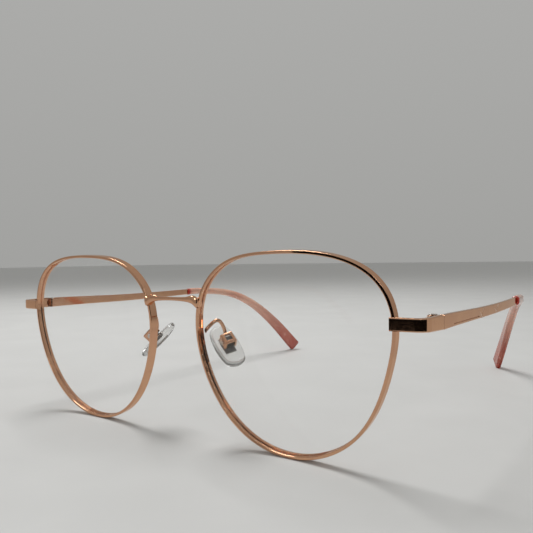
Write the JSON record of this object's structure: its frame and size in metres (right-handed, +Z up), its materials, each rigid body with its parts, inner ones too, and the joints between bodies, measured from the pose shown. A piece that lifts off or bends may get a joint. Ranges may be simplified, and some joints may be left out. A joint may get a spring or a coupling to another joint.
{
  "type": "round wire eyeglasses",
  "caption": "Round wire eyeglasses with a metal front, folding temples with moulded tips, and rocking nose pads.",
  "frame": {"origin": "centre of the footprint on the table, with the temples open", "axes": "+Z up, +Y back along the temples towards the wearer's ears, the front of the glasses faces -Y, +X is the wearer's left"},
  "size_m": [0.1418, 0.1486, 0.0496],
  "materials": {
    "rose_gold": "polished rose gold plating",
    "screw_steel": "turned, lightly plated",
    "nickel_insert": "satin",
    "pink_acetate": "translucent polished acetate",
    "clear_silicone": "clear soft silicone",
    "clear_lens": "clear with anti-reflection coating"
  },
  "bodies": {
    "front": {"bridge": "rose_gold", "rim_left": "rose_gold", "rim_right": "rose_gold", "closing_block_upper_left": "rose_gold", "closing_block_upper_right": "rose_gold", "closing_block_lower_left": "rose_gold", "closing_block_lower_right": "rose_gold", "closing_screw_left": "screw_steel", "closing_screw_right": "screw_steel", "lens_left": "clear_lens", "lens_right": "clear_lens", "end_piece_left": "rose_gold", "end_piece_right": "rose_gold", "hinge_front_left": "rose_gold", "hinge_front_right": "rose_gold", "hinge_screw_left": "screw_steel", "hinge_screw_right": "screw_steel", "pad_arm_left": "rose_gold", "pad_arm_right": "rose_gold", "pad_box_left": "rose_gold", "pad_box_right": "rose_gold", "pad_screw_left": "screw_steel", "pad_screw_right": "screw_steel"},
    "temple_left_arm": {"temple_left": "rose_gold", "temple_tip_left": "pink_acetate", "hinge_rear_left": "rose_gold"},
    "nose_pad_left_rocker": {"nose_pad_left": "clear_silicone", "pad_insert_left": "nickel_insert"},
    "temple_right_arm": {"temple_right": "rose_gold", "temple_tip_right": "pink_acetate", "hinge_rear_right": "rose_gold"},
    "nose_pad_right_rocker": {"nose_pad_right": "clear_silicone", "pad_insert_right": "nickel_insert"}
  },
  "joints": [
    {"name": "temple_left_fold", "type": "hinge", "parent": "front", "child": "temple_left_arm", "pos_m": [0.06685, -0.06229, 0.03351], "axis": [0, 0, 1], "range_deg": [0, 84]},
    {"name": "temple_right_fold", "type": "hinge", "parent": "front", "child": "temple_right_arm", "pos_m": [-0.06685, -0.06229, 0.03351], "axis": [0, 0, -1], "range_deg": [0, 74]},
    {"name": "nose_pad_left_rock", "type": "hinge", "parent": "front", "child": "nose_pad_left_rocker", "pos_m": [0.01401, -0.0661, 0.02637], "axis": [0.4696, 0.8491, 0.2421], "range_deg": [-8, 8]},
    {"name": "nose_pad_right_rock", "type": "hinge", "parent": "front", "child": "nose_pad_right_rocker", "pos_m": [-0.01401, -0.0661, 0.02637], "axis": [0.4696, -0.8491, -0.2421], "range_deg": [-8, 8]}
  ]
}
